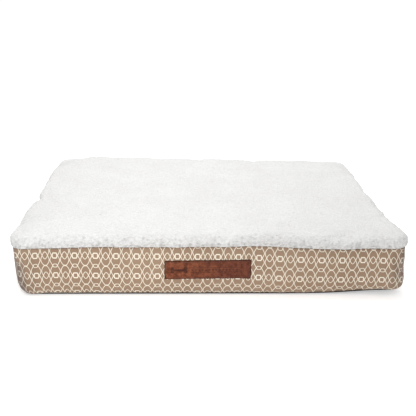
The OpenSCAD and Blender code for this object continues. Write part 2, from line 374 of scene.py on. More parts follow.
def metal_material():
    """Antiqued zinc with fine scratches."""
    s = Shader("zip_metal")
    colour = s.tone((0.40, 0.38, 0.35), (0.50, 0.48, 0.44), 400.0, 4.0, 0.6, low=0.35, high=0.65)
    rough = s.ramp(s.noise(900.0, 2.0), 0.2, 0.8, 0.28, 0.45)
    return s.finish(colour, rough, s.bump(s.noise(1800.0, 2.0), 0.00005, 0.4), Metallic=0.9)


def coil_material():
    s = Shader("zip_coil")
    colour = s.tone((0.38, 0.27, 0.19), (0.47, 0.35, 0.25), 200.0, 2.0)
    return s.finish(colour, 0.38, Specular_IOR_Level=0.5)


def rubber_material():
    s = Shader("grip_rubber")
    colour = s.tone((0.018, 0.018, 0.018), (0.035, 0.034, 0.033), 300.0, 3.0)
    rough = s.ramp(s.noise(120.0, 2.0), 0.2, 0.8, 0.5, 0.7)
    return s.finish(colour, rough, s.bump(s.noise(1200.0), 0.0001, 0.4))


def foam_material(name, dark, light):
    """Open-cell foam with fine pores, with painted shade in the pores."""
    s = Shader(name)
    pores = s.cells(420.0)
    pore_shade = tuple(0.6 * level for level in dark)
    # Painted shade in the pores.
    colour = s.blend(s.ramp(pores, 0.2, 0.5, 0.45, 0.0), s.tone(dark, light, 12.0, 4.0), pore_shade)
    return s.finish(colour, 0.95, s.bump(pores, 0.0008, 0.6), Specular_IOR_Level=0.1)


def film_material():
    s = Shader("liner_film")
    colour = s.tone((0.66, 0.68, 0.70), (0.78, 0.79, 0.80), 5.0, 4.0)
    creases = s.bump(s.noise(45.0, 5.0, 0.6), 0.002, 0.5)
    return s.finish(colour, s.ramp(s.noise(60.0), 0.3, 0.7, 0.35, 0.55), creases)


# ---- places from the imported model

def bounds_of(node):
    low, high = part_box(node)
    return np.array(low, float), np.array(high, float)


BAND_HIGH = bounds_of("boxing_strip")[1]
FLEECE_HIGH = bounds_of("fleece_top")[1]
PATCH_LOW, PATCH_HIGH = bounds_of("leather_patch")
BASE_LOW, BASE_HIGH = bounds_of("bottom_panel")
UPPER_LOW, UPPER_HIGH = bounds_of("back_strip_upper")

HALF_X = BAND_HIGH[0]
HALF_Y = BAND_HIGH[1]
ARC_X = UPPER_HIGH[0]
CORNER_R = HALF_X - ARC_X
ARC_Y = HALF_Y - CORNER_R
SEAM_Z = BAND_HIGH[2]
TOP_Z = FLEECE_HIGH[2]
OVERHANG = FLEECE_HIGH[0] - HALF_X
HEM_R = HALF_X - BASE_HIGH[0]
BASE_Z = BASE_LOW[2]
ZIP_HIGH = UPPER_LOW[2]
ZIP_LOW = bounds_of("back_strip_lower")[1][2]
ZIP_Z = (ZIP_HIGH + ZIP_LOW) / 2
ARC_LENGTH = math.pi / 2 * CORNER_R
BACK_START = ARC_X + 2 * ARC_LENGTH + 2 * ARC_Y
HALF_ROUND = BACK_START + ARC_X
# Distances round the band, from the middle of the front, at which each corner starts and stops.
CORNER_EDGES = np.cumsum([ARC_X, ARC_LENGTH, 2 * ARC_Y, ARC_LENGTH])


# ---- numbers that vary along cloth

def grid_of(rows, columns):
    """The row value and the column value at each point of a grid."""
    return np.meshgrid(rows, columns, indexing="ij")


def noise_at(x, y, scale, seed, size=64):
    """Smooth noise between -1 and 1 on a lattice with that spacing."""
    table = np.random.default_rng(seed).uniform(-1, 1, (size, size))
    gx, gy = np.asarray(x) / scale, np.asarray(y) / scale
    ix, iy = np.floor(gx).astype(int), np.floor(gy).astype(int)
    fx, fy = gx - ix, gy - iy
    fx, fy = fx * fx * (3 - 2 * fx), fy * fy * (3 - 2 * fy)
    near = table[ix % size, iy % size] * (1 - fx) + table[(ix + 1) % size, iy % size] * fx
    far = table[ix % size, (iy + 1) % size] * (1 - fx) + table[(ix + 1) % size, (iy + 1) % size] * fx
    return near * (1 - fy) + far * fy


def lumps_at(x, y, cell, seed, size=96):
    """Round lumps, one to a cell, between 0 and 1 high."""
    table = np.random.default_rng(seed).random((size, size, 3))
    gx, gy = x / cell, y / cell
    ix, iy = np.floor(gx).astype(int), np.floor(gy).astype(int)
    best = np.zeros_like(gx)
    for dx in (-1, 0, 1):
        for dy in (-1, 0, 1):
            jitter = table[(ix + dx) % size, (iy + dy) % size]
            px = ix + dx + 0.5 + 0.7 * (jitter[..., 0] - 0.5)
            py = iy + dy + 0.5 + 0.7 * (jitter[..., 1] - 0.5)
            radius = 0.62 + 0.3 * jitter[..., 2]
            near = np.clip(1 - ((gx - px) ** 2 + (gy - py) ** 2) / radius**2, 0, 1)
            best = np.maximum(best, (0.55 + 0.45 * jitter[..., 2]) * np.sqrt(near))
    return best


def step_up(value, low, high):
    share = np.clip((value - low) / (high - low), 0, 1)
    return share * share * (3 - 2 * share)


def hill(value, middle, width):
    return np.exp(-(((value - middle) / width) ** 2))


# ---- the cover's shape before it fills out

class Section:
    """Outline of a panel from the top seam inward: distance out from the band's face, and height."""

    def __init__(self, *runs):
        points = np.concatenate(runs)
        keep = np.concatenate([[True], np.hypot(*np.diff(points, axis=0).T) > 1e-7])
        self.out, self.z = points[keep].T
        self.along = np.concatenate([[0], np.cumsum(np.hypot(np.diff(self.out), np.diff(self.z)))])
        self.length = self.along[-1]

    def at(self, distance):
        return np.interp(distance, self.along, self.out), np.interp(distance, self.along, self.z)


def bow(out, z, reach, rise, start, stop, count=24):
    turn = np.radians(np.linspace(start, stop, count))
    return np.stack([out + reach * np.cos(turn), z + rise * np.sin(turn)], axis=1)


PILE = 2.4 * MM
ROLL_WIDEST = 9.5 * MM
ROLL_OUT = OVERHANG - 0.6 * PILE
ROLL_SHOULDER = 17 * MM
ROLL_Z = SEAM_Z + ROLL_WIDEST
FLEECE_SECTION = Section(
    bow(0, ROLL_Z, ROLL_OUT, ROLL_WIDEST, -90, 0),
    bow(ROLL_OUT - ROLL_SHOULDER, ROLL_Z, ROLL_SHOULDER, TOP_Z - PILE - ROLL_Z, 0, 90),
)
FLEECE_RIM = CORNER_R + FLEECE_SECTION.out[-1] + FLEECE_SECTION.length
BAND_SECTION = Section(
    np.array([(0, SEAM_Z), (0, BASE_Z + HEM_R)]),
    bow(-HEM_R, BASE_Z + HEM_R, HEM_R, HEM_R, 0, -90),
)


def wrap(a, b, rim, section):
    """Where cloth coordinates a, b lie on a panel whose outer rim follows the section."""
    cx = np.clip(np.abs(a) - ARC_X, 0, None)
    cy = np.clip(np.abs(b) - ARC_Y, 0, None)
    px = cx * np.sqrt(1 - cy**2 / (2 * rim**2))
    py = cy * np.sqrt(1 - cx**2 / (2 * rim**2))
    radius = np.hypot(px, py)
    distance = rim - radius
    out, z = section.at(distance)
    reach = np.where(distance > section.length, radius, CORNER_R + out)
    scale = reach / np.maximum(radius, 1e-9)
    x = np.sign(a) * (np.minimum(np.abs(a), ARC_X) + px * scale)
    y = np.sign(b) * (np.minimum(np.abs(b), ARC_Y) + py * scale)
    return np.stack([x, y, z], axis=-1)


def track(s):
    """Foot or arc centre, and outward direction, at distance s round the band from the front's middle."""
    u = np.abs(s)
    side = np.sign(s) + (s == 0)
    edges = CORNER_EDGES
    first = (u - edges[0]) / CORNER_R
    second = (u - edges[2]) / CORNER_R
    where = [u <= edges[0], u <= edges[1], u <= edges[2], u <= edges[3]]
    zero, one = np.zeros_like(u), np.ones_like(u)
    fx = np.select(where, [u, ARC_X * one, ARC_X * one, ARC_X * one], ARC_X - (u - edges[3]))
    fy = np.select(where, [-ARC_Y * one, -ARC_Y * one, u - edges[1] - ARC_Y, ARC_Y * one], ARC_Y * one)
    nx = np.select(where, [zero, np.sin(first), one, np.cos(second)], zero)
    ny = np.select(where, [-one, -np.cos(first), zero, np.sin(second)], one)
    return np.stack([side * fx, fy], -1), np.stack([side * nx, ny], -1)


def round_distance(x, y):
    """Distance round the band from the middle of the front, for a point near the band."""
    u, side = np.abs(x), np.sign(x) + (x == 0)
    cx, cy = u - ARC_X, np.abs(y) - ARC_Y
    front, corner = y < 0, (cx > 0) & (cy > 0)
    turn = np.arctan2(np.maximum(cx, 0), np.maximum(cy, 1e-9)) * CORNER_R
    along_side = (cx > cy) & ~corner
    edges = CORNER_EDGES
    s = np.where(front, np.minimum(u, ARC_X), edges[3] + ARC_X - np.minimum(u, ARC_X))
    s = np.where(along_side, edges[1] + np.clip(y, -ARC_Y, ARC_Y) + ARC_Y, s)
    s = np.where(corner & front, ARC_X + turn, s)
    s = np.where(corner & ~front, edges[3] - turn, s)
    return side * s


def band_places(s, v):
    """Band surface at distances s round the bed and v down the cloth from the top seam."""
    foot, outward = track(s)
    out, z = BAND_SECTION.at(v)
    flat = foot + outward * (CORNER_R + out)[..., None]
    return np.concatenate([flat, z[..., None]], axis=-1)


EVERYWHERE = (0, math.inf)
# How far the cover is lifted, in mm: amount, part of it, then middle and width in x and in y, in metres.
LIFTS = (
    (-6.5, "top front", 0.31, 0.10, *EVERYWHERE),
    (-2.5, "top front", -0.40, 0.09, *EVERYWHERE),
    (1.5, "top front", 0.02, 0.20, *EVERYWHERE),
    (6.0, "top back", -0.30, 0.16, *EVERYWHERE),
    (-6.0, "top back", 0.27, 0.13, *EVERYWHERE),
    (-4.0, "top", 0.44, 0.06, 0.03, 0.20),
    (5.0, "top", 0.43, 0.06, 0.34, 0.08),
    (6.0, "rim", 0.465, 0.030, -0.335, 0.09),
    (5.5, "rim", -0.470, 0.022, -0.335, 0.05),
    (13.0, "foot", 0.47, 0.13, -0.33, 0.10),
)
# How far it is pushed outward, in the same way.
PUSHES = (
    (-9.0, "top edge", -0.455, 0.05, -0.060, 0.022),
    (-4.0, "top edge", -0.455, 0.05, -0.020, 0.080),
    (-4.0, "whole edge", 0.455, 0.05, 0.04, 0.20),
)
# How far the top of each side is pushed outward, and the left side's bulge, in mm.
SIDE_ROLL = 6.5
LEFT_BULGE = 6.0
# Front corners: side, tuck of the foot, and pull inward of the fleece's tip, in mm.
FRONT_CORNERS = ((-1, 7.0, 14.0), (1, 4.0, 15.0))
TIP_OUT = 4.0
TIP_LIFT = 5.0
# Proud corners: side in x and in y, reach in mm, and the share of it at the foot.
EARS = ((-1, -1, 9.0, 0.4), (1, -1, 15.0, 1.3), (1, 1, 2.0, 0.2), (-1, 1, -6.0, 0.2))


def humps(rows, parts, x, y):
    return sum(size * parts[part] * hill(x, cx, wx) * hill(y, cy, wy) for size, part, cx, wx, cy, wy in rows)


def ripples(s, offset, coarse, fine):
    """Two sizes of noise round the band, each given as height, spacing and seed."""
    return sum(size * noise_at(s, 0 * s + offset, scale, seed) for size, scale, seed in (coarse, fine))


def settled(points):
    """The cover as it sits in use: seam waves, dips, proud corners and a pinch, none of them near the zip."""
    x, y, z = points[..., 0], points[..., 1], points[..., 2]
    s = round_distance(x, y)
    outward = track(s)[1]
    inset = np.minimum(HALF_X - np.abs(x), HALF_Y - np.abs(y))
    near_edge = np.exp(-((np.clip(inset, 0, None) / 0.05) ** 2))
    at_seam = hill(z, SEAM_Z, 0.035) * near_edge
    high = step_up(z, 0.06, 0.12)
    on_top = step_up(z, SEAM_Z - 0.001, SEAM_Z + 0.010)
    parts = {
        "top": high,
        "top front": high * step_up(-y, 0.10, 0.32),
        "top back": high * step_up(y, 0.05, 0.33),
        "rim": step_up(z, 0.07, 0.125),
        "foot": 1 - step_up(z, 0.01, 0.09),
        "top edge": near_edge * high,
        "whole edge": near_edge * (0.4 + 0.6 * high),
    }
    moved = points.copy()

    rise = at_seam * ripples(s, 0, (1.5, 0.11, 3), (0.8, 0.04, 4))
    moved[..., 2] += (rise + humps(LIFTS, parts, x, y)) * MM

    calm_right = 1 - 0.8 * hill(x, 0.455, 0.06)
    push = at_seam * calm_right * ripples(s, 9, (1.3, 0.13, 5), (0.6, 0.045, 6))
    push += humps(PUSHES, parts, x, y)
    push += near_edge * on_top * SIDE_ROLL * outward[..., 0] ** 2
    moved[..., :2] += (push * MM)[..., None] * outward

    left = near_edge * hill(x, -0.455, 0.05) * hill(y, -0.20, 0.09) * (0.3 + 0.7 * high)
    moved[..., 0] -= LEFT_BULGE * MM * left
    for cx, tuck, inward in FRONT_CORNERS:
        corner = hill(x, cx * 0.455, 0.04) * hill(y, -0.338, 0.04) * (1 - step_up(z, 0.0, 0.035))
        tip = hill(x, cx * HALF_X, 0.035) * hill(y, -HALF_Y, 0.035)
        moved[..., 0] += cx * (tip * (TIP_OUT - inward * on_top) - tuck * corner) * MM
        moved[..., 1] += (0.4 * tuck * corner - TIP_OUT * tip) * MM
        moved[..., 2] += TIP_LIFT * MM * tip * on_top
    for cx, cy, reach, at_foot in EARS:
        share = at_foot + (1 - at_foot) * step_up(z, 0.0, 0.12)
        ear = hill(x, cx * HALF_X, 0.05) * hill(y, cy * HALF_Y, 0.07) * share
        moved[..., 0] += cx * ear * reach * MM
        moved[..., 1] += cy * ear * reach * MM * 0.3
    return moved


# ---- cloth simulation of the whole cover

SIM_STEP = 9.5 * MM
SIM_ROWS = 14
SIM_FRAMES = 24
TOP_PRESSURE = 0.16
# The cloth is held still this far above and below the zip, and this far past its ends.
ZIP_HELD = 0.016
ZIP_HELD_PAST = 0.03
CLOTH_SETTINGS = {
    "quality": 6,
    "mass": 0.25,
    "tension_stiffness": 18,
    "compression_stiffness": 10,
    "shear_stiffness": 6,
    "bending_stiffness": 0.6,
    "vertex_group_mass": "held",
    "shrink_min": -0.022,
    "use_pressure": True,
    "uniform_pressure_force": 3.2,
    "vertex_group_pressure": "puffed",
}


def rectangle_border(nx, ny):
    """Grid indices round the edge of a grid, anticlockwise from its first corner."""
    border = [(i, 0) for i in range(nx)] + [(nx, j) for j in range(ny)]
    return border + [(i, ny) for i in range(nx, 0, -1)] + [(0, j) for j in range(ny, 0, -1)]


def cloth_axis(arc, rim, step):
    half = arc + rim
    count = 2 * round(half / step)
    return np.linspace(-half, half, count + 1)


def wrapped(rim, section, step):
    """Cloth laid over the whole bed: its two axes, and its places."""
    a, b = cloth_axis(ARC_X, rim, step), cloth_axis(ARC_Y, rim, step)
    return a, b, wrap(*grid_of(a, b), rim, section)


def fill_out():
    """Runs the cloth simulation, and returns how far the fleece grid and the band grid moved."""
    a, b, plain = wrapped(FLEECE_RIM, FLEECE_SECTION, SIM_STEP)
    nx, ny = len(a) - 1, len(b) - 1
    top = settled(plain)
    border = rectangle_border(nx, ny)
    seam = plain[tuple(np.array(border).T)]
    s = round_distance(seam[:, 0], seam[:, 1])
    v = np.linspace(0, BAND_SECTION.length, SIM_ROWS + 1)
    grid_v, grid_s = grid_of(v[1:], s)
    band = settled(band_places(grid_s, grid_v))

    def top_id(i, j):
        return i * (ny + 1) + j

    top_count = (nx + 1) * (ny + 1)
    ring = [[top_id(i, j) for i, j in border]]
    ring += [[top_count + r * len(s) + k for k in range(len(s))] for r in range(SIM_ROWS)]
    faces = grid_faces(nx + 1, ny + 1)
    for upper, lower in zip(ring, ring[1:]):
        faces += [(upper[k - 1], lower[k - 1], lower[k], upper[k]) for k in range(len(s))]
    base = top_count + SIM_ROWS * len(s)
    points = np.concatenate([top.reshape(-1, 3), band.reshape(-1, 3), [[0, 0, BASE_Z]]])
    faces += [(ring[-1][k], ring[-1][k - 1], base) for k in range(len(s))]

    mesh = bpy.data.meshes.new("cover_sim")
    mesh.from_pydata(points.tolist(), [], faces)
    cover = bpy.data.objects.new("cover_sim", mesh)
    bpy.context.collection.objects.link(cover)

    held = set(ring[0]) | set(ring[-1]) | {base}
    for r in range(SIM_ROWS):
        for k in range(len(s)):
            if abs(s[k]) > BACK_START - ZIP_HELD_PAST and abs(band[r, k, 2] - ZIP_Z) < ZIP_HELD:
                held.add(ring[r + 1][k])
    pins = cover.vertex_groups.new(name="held")
    pins.add(list(held), 1.0, "REPLACE")
    puffed = cover.vertex_groups.new(name="puffed")
    puffed.add(list(range(top_count)), TOP_PRESSURE, "REPLACE")
    puffed.add(list(range(top_count, base)), 1.0, "REPLACE")

    cloth = cover.modifiers.new("Cloth", "CLOTH")
    for key, value in CLOTH_SETTINGS.items():
        setattr(cloth.settings, key, value)
    cloth.settings.effector_weights.gravity = 0
    cloth.collision_settings.use_collision = False
    cloth.point_cache.frame_start = 1
    cloth.point_cache.frame_end = SIM_FRAMES
    scene = bpy.context.scene
    for number in range(1, SIM_FRAMES + 1):
        scene.frame_set(number)
    evaluated = cover.evaluated_get(bpy.context.evaluated_depsgraph_get())
    moved = np.empty(len(points) * 3)
    evaluated.data.vertices.foreach_get("co", moved)
    moved = moved.reshape(-1, 3) - points
    scene.frame_set(1)
    bpy.data.objects.remove(cover)

    top_move = moved[:top_count].reshape(nx + 1, ny + 1, 3)
    band_move = np.stack([moved[ids] for ids in ring])
    return (a, b, top_move), (s, v, band_move)


def capped(move, limit):
    size = np.linalg.norm(move, axis=-1, keepdims=True)
    return move * (limit * np.tanh(size / limit) / np.maximum(size, 1e-9))


def mixed(grid, row, column):
    """Linear mix of a grid's values at fractional rows and columns."""
    i = np.clip(np.floor(row).astype(int), 0, grid.shape[0] - 2)
    j = np.clip(np.floor(column).astype(int), 0, grid.shape[1] - 2)
    extra = (1,) * (grid.ndim - 2)
    fi = (row - i).reshape(row.shape + extra)
    fj = (column - j).reshape(column.shape + extra)
    upper = grid[i, j] * (1 - fj) + grid[i, j + 1] * fj
    lower = grid[i + 1, j] * (1 - fj) + grid[i + 1, j + 1] * fj
    return upper * (1 - fi) + lower * fi


def resampled(values, old, new, axis):
    """Linear change of grid along one axis."""
    values = np.moveaxis(values, axis, 0)
    spot = np.interp(new, old, np.arange(len(old)))
    low = np.clip(np.floor(spot).astype(int), 0, len(old) - 2)
    share = (spot - low).reshape((-1,) + (1,) * (values.ndim - 1))
    return np.moveaxis(values[low] * (1 - share) + values[low + 1] * share, 0, axis)


def smoothed(values, passes, axis, wraps=False):
    values = np.moveaxis(values, axis, 0).copy()
    for _ in range(passes):
        if wraps:
            values = 0.25 * np.roll(values, 1, 0) + 0.5 * values + 0.25 * np.roll(values, -1, 0)
        else:
            values[1:-1] = 0.25 * values[:-2] + 0.5 * values[1:-1] + 0.25 * values[2:]
    return np.moveaxis(values, 0, axis)


# ---- meshes

def new_object(name, mesh, material, smooth=True):
    mesh.polygons.foreach_set("use_smooth", [smooth] * len(mesh.polygons))
    mesh.materials.append(material)
    obj = bpy.data.objects.new(name, mesh)
    bpy.context.collection.objects.link(obj)
    return obj


def piece(name, points, faces, material, uv=None):
    mesh = bpy.data.meshes.new(name)
    mesh.from_pydata(np.asarray(points).tolist(), [], faces)
    if uv is not None:
        corner = np.empty(len(mesh.loops), int)
        mesh.loops.foreach_get("vertex_index", corner)
        mesh.uv_layers.new(name="cloth").data.foreach_set("uv", np.asarray(uv)[corner].ravel())
    return new_object(name, mesh, material)


def mark(obj, name, values):
    """Stores one number at each of the first points of a mesh, and 0 at the rest."""
    filled = np.zeros(len(obj.data.vertices))
    filled[: values.size] = values.ravel()
    obj.data.attributes.new(name, "FLOAT", "POINT").data.foreach_set("value", filled)


def declare(obj, replaced):
    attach(obj, "bed")
    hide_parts(replaced)


def grid_normals(grid):
    normal = np.cross(np.gradient(grid, axis=0), np.gradient(grid, axis=1))
    return normal / np.maximum(np.linalg.norm(normal, axis=-1, keepdims=True), 1e-12)


def grid_faces(rows, columns, offset=0, flip=False):
    i, j = grid_of(np.arange(rows - 1), np.arange(columns - 1))
    first = (i * columns + j + offset).ravel()
    quads = np.stack([first, first + columns, first + columns + 1, first + 1], axis=1)
    return (quads[:, ::-1] if flip else quads).tolist()


def border_ids(rows, columns, offset=0):
    return [i * columns + j + offset for i, j in rectangle_border(rows - 1, columns - 1)]


def sheet_piece(name, outer, thickness, material, uv, coarse=1):
    """Closed thin solid from a grid of outer points, with one inner point for each `coarse` outer points."""
    rows, columns = outer.shape[:2]
    inner = (outer - grid_normals(outer) * thickness)[::coarse, ::coarse]
    count = rows * columns
    faces = grid_faces(rows, columns) + grid_faces(*inner.shape[:2], offset=count, flip=True)
    rim = border_ids(rows, columns)
    back = border_ids(*inner.shape[:2], offset=count)
    for k in range(len(back)):
        near, far = back[k], back[(k + 1) % len(back)]
        chain = [rim[(k * coarse + i) % len(rim)] for i in range(coarse + 1)]
        faces += [(near, chain[i + 1], chain[i]) for i in range(coarse)]
        faces.append((near, far, chain[-1]))
    points = np.concatenate([outer.reshape(-1, 3), inner.reshape(-1, 3)])
    uvs = np.concatenate([uv.reshape(-1, 2), uv[::coarse, ::coarse].reshape(-1, 2)])
    return piece(name, points, faces, material, uvs)


def tube_mesh(paths, radius, sides=6):
    """Points and faces of closed tubes along paths, each an array of points."""
    points, faces, offset = [], [], 0
    turn = np.arange(sides) * 2 * math.pi / sides
    steps = [(j, (j + 1) % sides) for j in range(sides)]
    for path in paths:
        ahead = np.gradient(path, axis=0)
        ahead /= np.linalg.norm(ahead, axis=1, keepdims=True)
        guide = np.array([0.0, 0.0, 1.0]) if abs(ahead[0][2]) < 0.9 else np.array([1.0, 0.0, 0.0])
        across = np.cross(ahead, guide)
        across /= np.linalg.norm(across, axis=1, keepdims=True)
        up = np.cross(across, ahead)
        ring = across[:, None] * np.cos(turn)[None, :, None] + up[:, None] * np.sin(turn)[None, :, None]
        points.append((path[:, None] + ring * radius).reshape(-1, 3))
        count = len(path)
        for near in range(offset, offset + (count - 1) * sides, sides):
            far = near + sides
            faces += [(near + j, near + k, far + k, far + j) for j, k in steps]
        faces.append(tuple(offset + j for j in range(sides))[::-1])
        faces.append(tuple(offset + (count - 1) * sides + j for j in range(sides)))
        offset += count * sides
    return np.concatenate(points), faces


# ---- fleece top

FLEECE_STEP = 3.3 * MM
ROLL_STEP = 1.6 * MM
ROLL_WIDTH = 45 * MM
FLEECE_BACKING = 5 * MM
FLEECE_GIVE = 7 * MM


INNER_STEP = 4
TUFT_WIDTH = 4.8 * MM
CURL_WIDTH = 2.6 * MM


def graded_axis(arc, rim):
    """Grid positions across the panel, closer on the roll, in a number of steps that INNER_STEP divides."""
    half = arc + rim
    roll = round(ROLL_WIDTH / ROLL_STEP)
    steps = 2 * (half - ROLL_WIDTH) / FLEECE_STEP + 2 * roll
    flat = INNER_STEP * round(steps / INNER_STEP) - 2 * roll
    edge = np.linspace(0, ROLL_WIDTH, roll + 1)
    middle = np.linspace(ROLL_WIDTH - half, half - ROLL_WIDTH, flat + 1)
    return np.concatenate([edge - half, middle[1:-1], half - edge[::-1]])


def make_fleece(sim):
    """The pile-fleece panel: the simulated surface, soft waves, and lumps of pile."""
    old_a, old_b, move = sim
    a, b = graded_axis(ARC_X, FLEECE_RIM), graded_axis(ARC_Y, FLEECE_RIM)
    grid_a, grid_b = grid_of(a, b)
    move = resampled(resampled(capped(move, FLEECE_GIVE), old_a, a, 0), old_b, b, 1)
    move = smoothed(smoothed(move, 12, 0), 12, 1)
    surface = settled(wrap(grid_a, grid_b, FLEECE_RIM, FLEECE_SECTION)) + move
    inset = np.minimum(a[-1] - np.abs(grid_a), b[-1] - np.abs(grid_b))
    waves = 2.2 * noise_at(grid_a, grid_b, 0.16, 11) + 1.1 * noise_at(grid_a, grid_b, 0.07, 12)
    surface[..., 2] += step_up(inset, 0.01, 0.07) * waves * MM
    normal = grid_normals(surface)
    warp_a = grid_a + 1.4 * MM * noise_at(grid_a, grid_b, 5 * MM, 13)
    warp_b = grid_b + 1.4 * MM * noise_at(grid_a, grid_b, 5 * MM, 14)
    tufts, curls = lumps_at(warp_a, warp_b, TUFT_WIDTH, 15), lumps_at(warp_a, warp_b, CURL_WIDTH, 16)
    on_roll = 1 - step_up(inset, 0.016, 0.040)
    height = (1.9 + 0.7 * on_roll) * tufts + (0.9 + 0.4 * on_roll) * curls
    height = height * (1 + 0.25 * noise_at(grid_a, grid_b, 0.03, 17)) - 1.0 - 0.4 * on_roll
    surface = surface + normal * (height * step_up(inset, -3 * MM, 4 * MM) * MM)[..., None]
    # Painted shade for the pile: high between tufts and curls, higher on the roll, highest along the rim by the
    # seam.
    at_rim = 1 - step_up(inset, 0.004, 0.016)
    pile_shade = np.clip(1.15 - 0.9 * tufts - 0.5 * curls, 0, 1) * (0.26 + 0.38 * on_roll + 0.50 * at_rim)
    pile_shade = np.clip(pile_shade + 0.22 * at_rim, 0, 1)
    uv = np.stack([grid_a, grid_b], -1)
    top = sheet_piece("fleece_pile_top", surface, FLEECE_BACKING, fleece_material(), uv, INNER_STEP)
    mark(top, "pile_shade", pile_shade)
    declare(top, "fleece_top")


# ---- printed band

BAND_STEP = 3.6 * MM
BAND_CLOTH = 1.4 * MM
BAND_GIVE = 6.5 * MM
BACK_ROW = 3.4 * MM
ROWS = 36
# Fitted to the photo: where the print starts, its size, its slope all round and its extra slope
# on the right of the front.
PRINT_PHASE_X = -413.9 * MM
PRINT_PHASE_Y = 25.3 * MM
PRINT_SHARE = 0.995
PRINT_SLOPE = 0.012
RIGHT_SLOPE = 0.038
RIGHT_START = 0.10
# Shifts fitted in the same way: near the left front corner, and in the middle of the front.
GATHERED = 10.3 * MM
GATHER_START = 0.27
GATHER_WIDTH = 0.164
DRIFT = 5.5 * MM
DRIFT_MIDDLE = 0.07
DRIFT_WIDTH = 0.20
# How dark the gathers at the left and right front corners are, and the line under the seam.
LEFT_SHADE = 0.90
RIGHT_SHADE = 0.66
SEAM_SHADE = 0.45


class Band:
    """The whole band as a grid, from which its panels are cut: columns round the bed, rows down the cloth."""

    def __init__(self, sim):
        old_s, old_v, move = sim
        order = np.argsort(old_s)
        span = 2 * HALF_ROUND
        old_s, move = old_s[order], move[:, order]
        old_s = np.concatenate([[old_s[-1] - span], old_s, [old_s[0] + span]])
        move = np.concatenate([move[:, -1:], move, move[:, :1]], axis=1)
        columns = 2 * round(HALF_ROUND / BAND_STEP)
        self.s = np.linspace(-HALF_ROUND, HALF_ROUND, columns + 1)
        self.v = np.linspace(0, BAND_SECTION.length, ROWS + 1)
        move = capped(move, BAND_GIVE)
        move = resampled(resampled(move, old_s, self.s, 1), old_v, self.v, 0)
        move = smoothed(smoothed(move, 5, 1, wraps=True), 3, 0)
        v, s = grid_of(self.v, self.s)
        surface = settled(band_places(s, v)) + move
        _, outward = track(s)
        u = np.abs(s)
        to_seam = np.minimum(v, BAND_SECTION.length - v)
        at_corner = hill(u, ARC_X + ARC_LENGTH / 2, 0.05) + hill(u, BACK_START - ARC_LENGTH / 2, 0.05)
        gathers = 0.45 * np.exp(-to_seam / 0.012) * noise_at(s, v * 0.15, 0.011, 21)
        folds = 0.55 * (0.35 + at_corner) * noise_at(s, v * 0.3, 0.028, 22)
        near_zip = step_up(0.03 - np.abs(v - self.v_at(ZIP_Z)), 0, 0.01)
        quiet = 1 - step_up(u, BACK_START - 0.02, BACK_START) * near_zip
        front_corner = hill(u, ARC_X + 0.62 * ARC_LENGTH, 0.028)
        pleats = noise_at(s, v * 0.10, 0.0065, 23)
        folds = folds + 0.7 * front_corner * pleats
        in_pleat = front_corner * np.clip(0.55 - 0.9 * pleats, 0, 1)
        under_seam = np.exp(-v / (2.5 * MM))
        self.shaded = np.where(s < 0, LEFT_SHADE, RIGHT_SHADE) * in_pleat + SEAM_SHADE * under_seam
        bumps = (gathers + folds) * quiet * step_up(to_seam, -0.002, 0.004)
        surface[..., :2] += (bumps * MM)[..., None] * outward
        self.grid = self.flattened_behind_patch(surface)
        self.normals = grid_normals(self.grid)
        self.measure_cloth()

    def measure_cloth(self):
        """True length of the cloth round the bed, from the front's middle, and down it, from its foot up."""
        calm = smoothed(smoothed(self.grid, 12, 1), 6, 0)
        middle = calm[ROWS // 2]
        self.cloth = np.concatenate([[0], np.cumsum(np.linalg.norm(np.diff(middle, axis=0), axis=1))])
        self.cloth -= np.interp(0, self.s, self.cloth)
        down = np.cumsum(np.linalg.norm(np.diff(calm, axis=0), axis=2), axis=0)
        down = np.concatenate([0 * down[:1], down])
        self.down = down - down[-1:] + BAND_SECTION.length

    def row_and_column(self, s, v):
        """Fractional grid row and column of points of the band."""
        return np.interp(v, self.v, np.arange(len(self.v))), np.interp(s, self.s, np.arange(len(self.s)))

    def v_at(self, z):
        """Cloth distance from the seam down to height z on the upright wall."""
        return SEAM_Z - z

    def print_uv(self, s, v):
        """Place on the print: the cloth's true length, plus the shifts above.

        The slope and shifts don't match up where the band's ends meet, in the middle of the back.
        """
        turns = np.floor((s + HALF_ROUND) / (2 * HALF_ROUND) - 1e-9)
        near = s - turns * 2 * HALF_ROUND
        along = np.interp(near, self.s, self.cloth) + turns * (self.cloth[-1] - self.cloth[0])
        along -= GATHERED * np.clip((-near - GATHER_START) / GATHER_WIDTH, 0, 1) ** 2
        along += DRIFT * hill(near, DRIFT_MIDDLE, DRIFT_WIDTH)
        down = mixed(self.down, *self.row_and_column(near, v))
        slope = PRINT_SLOPE * near + RIGHT_SLOPE * np.clip(near - RIGHT_START, 0, HALF_X - RIGHT_START)
        return np.stack([along - PRINT_PHASE_X, PRINT_SHARE * down - PRINT_PHASE_Y - slope], -1)

    def flattened_behind_patch(self, grid):
        calm = smoothed(smoothed(grid, 60, 0), 60, 1)
        s_in = hill(self.s, (PATCH_LOW[0] + PATCH_HIGH[0]) / 2, 0.118) ** 4
        v_mid = self.v_at((PATCH_LOW[2] + PATCH_HIGH[2]) / 2)
        share = (hill(self.v, v_mid, 0.036)[:, None] * np.minimum(s_in * 3, 1)[None])[..., None]
        share = np.clip(share * 1.5, 0, 1)
        return grid * (1 - share) + calm * share

    def at(self, s, v):
        """Place and outward direction at points of the band, which carries on from its start past its end."""
        spot = self.row_and_column(np.where(s > HALF_ROUND, s - 2 * HALF_ROUND, s), v)
        normal = mixed(self.normals, *spot)
        return mixed(self.grid, *spot), normal / np.linalg.norm(normal, axis=-1, keepdims=True)

    def panel(self, name, around, down, replaced):
        """Cuts one panel, from lists of distances round the bed and down the cloth."""
        v, s = grid_of(down, around)
        obj = sheet_piece(name, self.at(s, v)[0], BAND_CLOTH, self.material, self.print_uv(s, v))
        declare(obj, replaced)
        return obj


def spread(low, high, step):
    return np.linspace(low, high, max(2, round((high - low) / step) + 1))


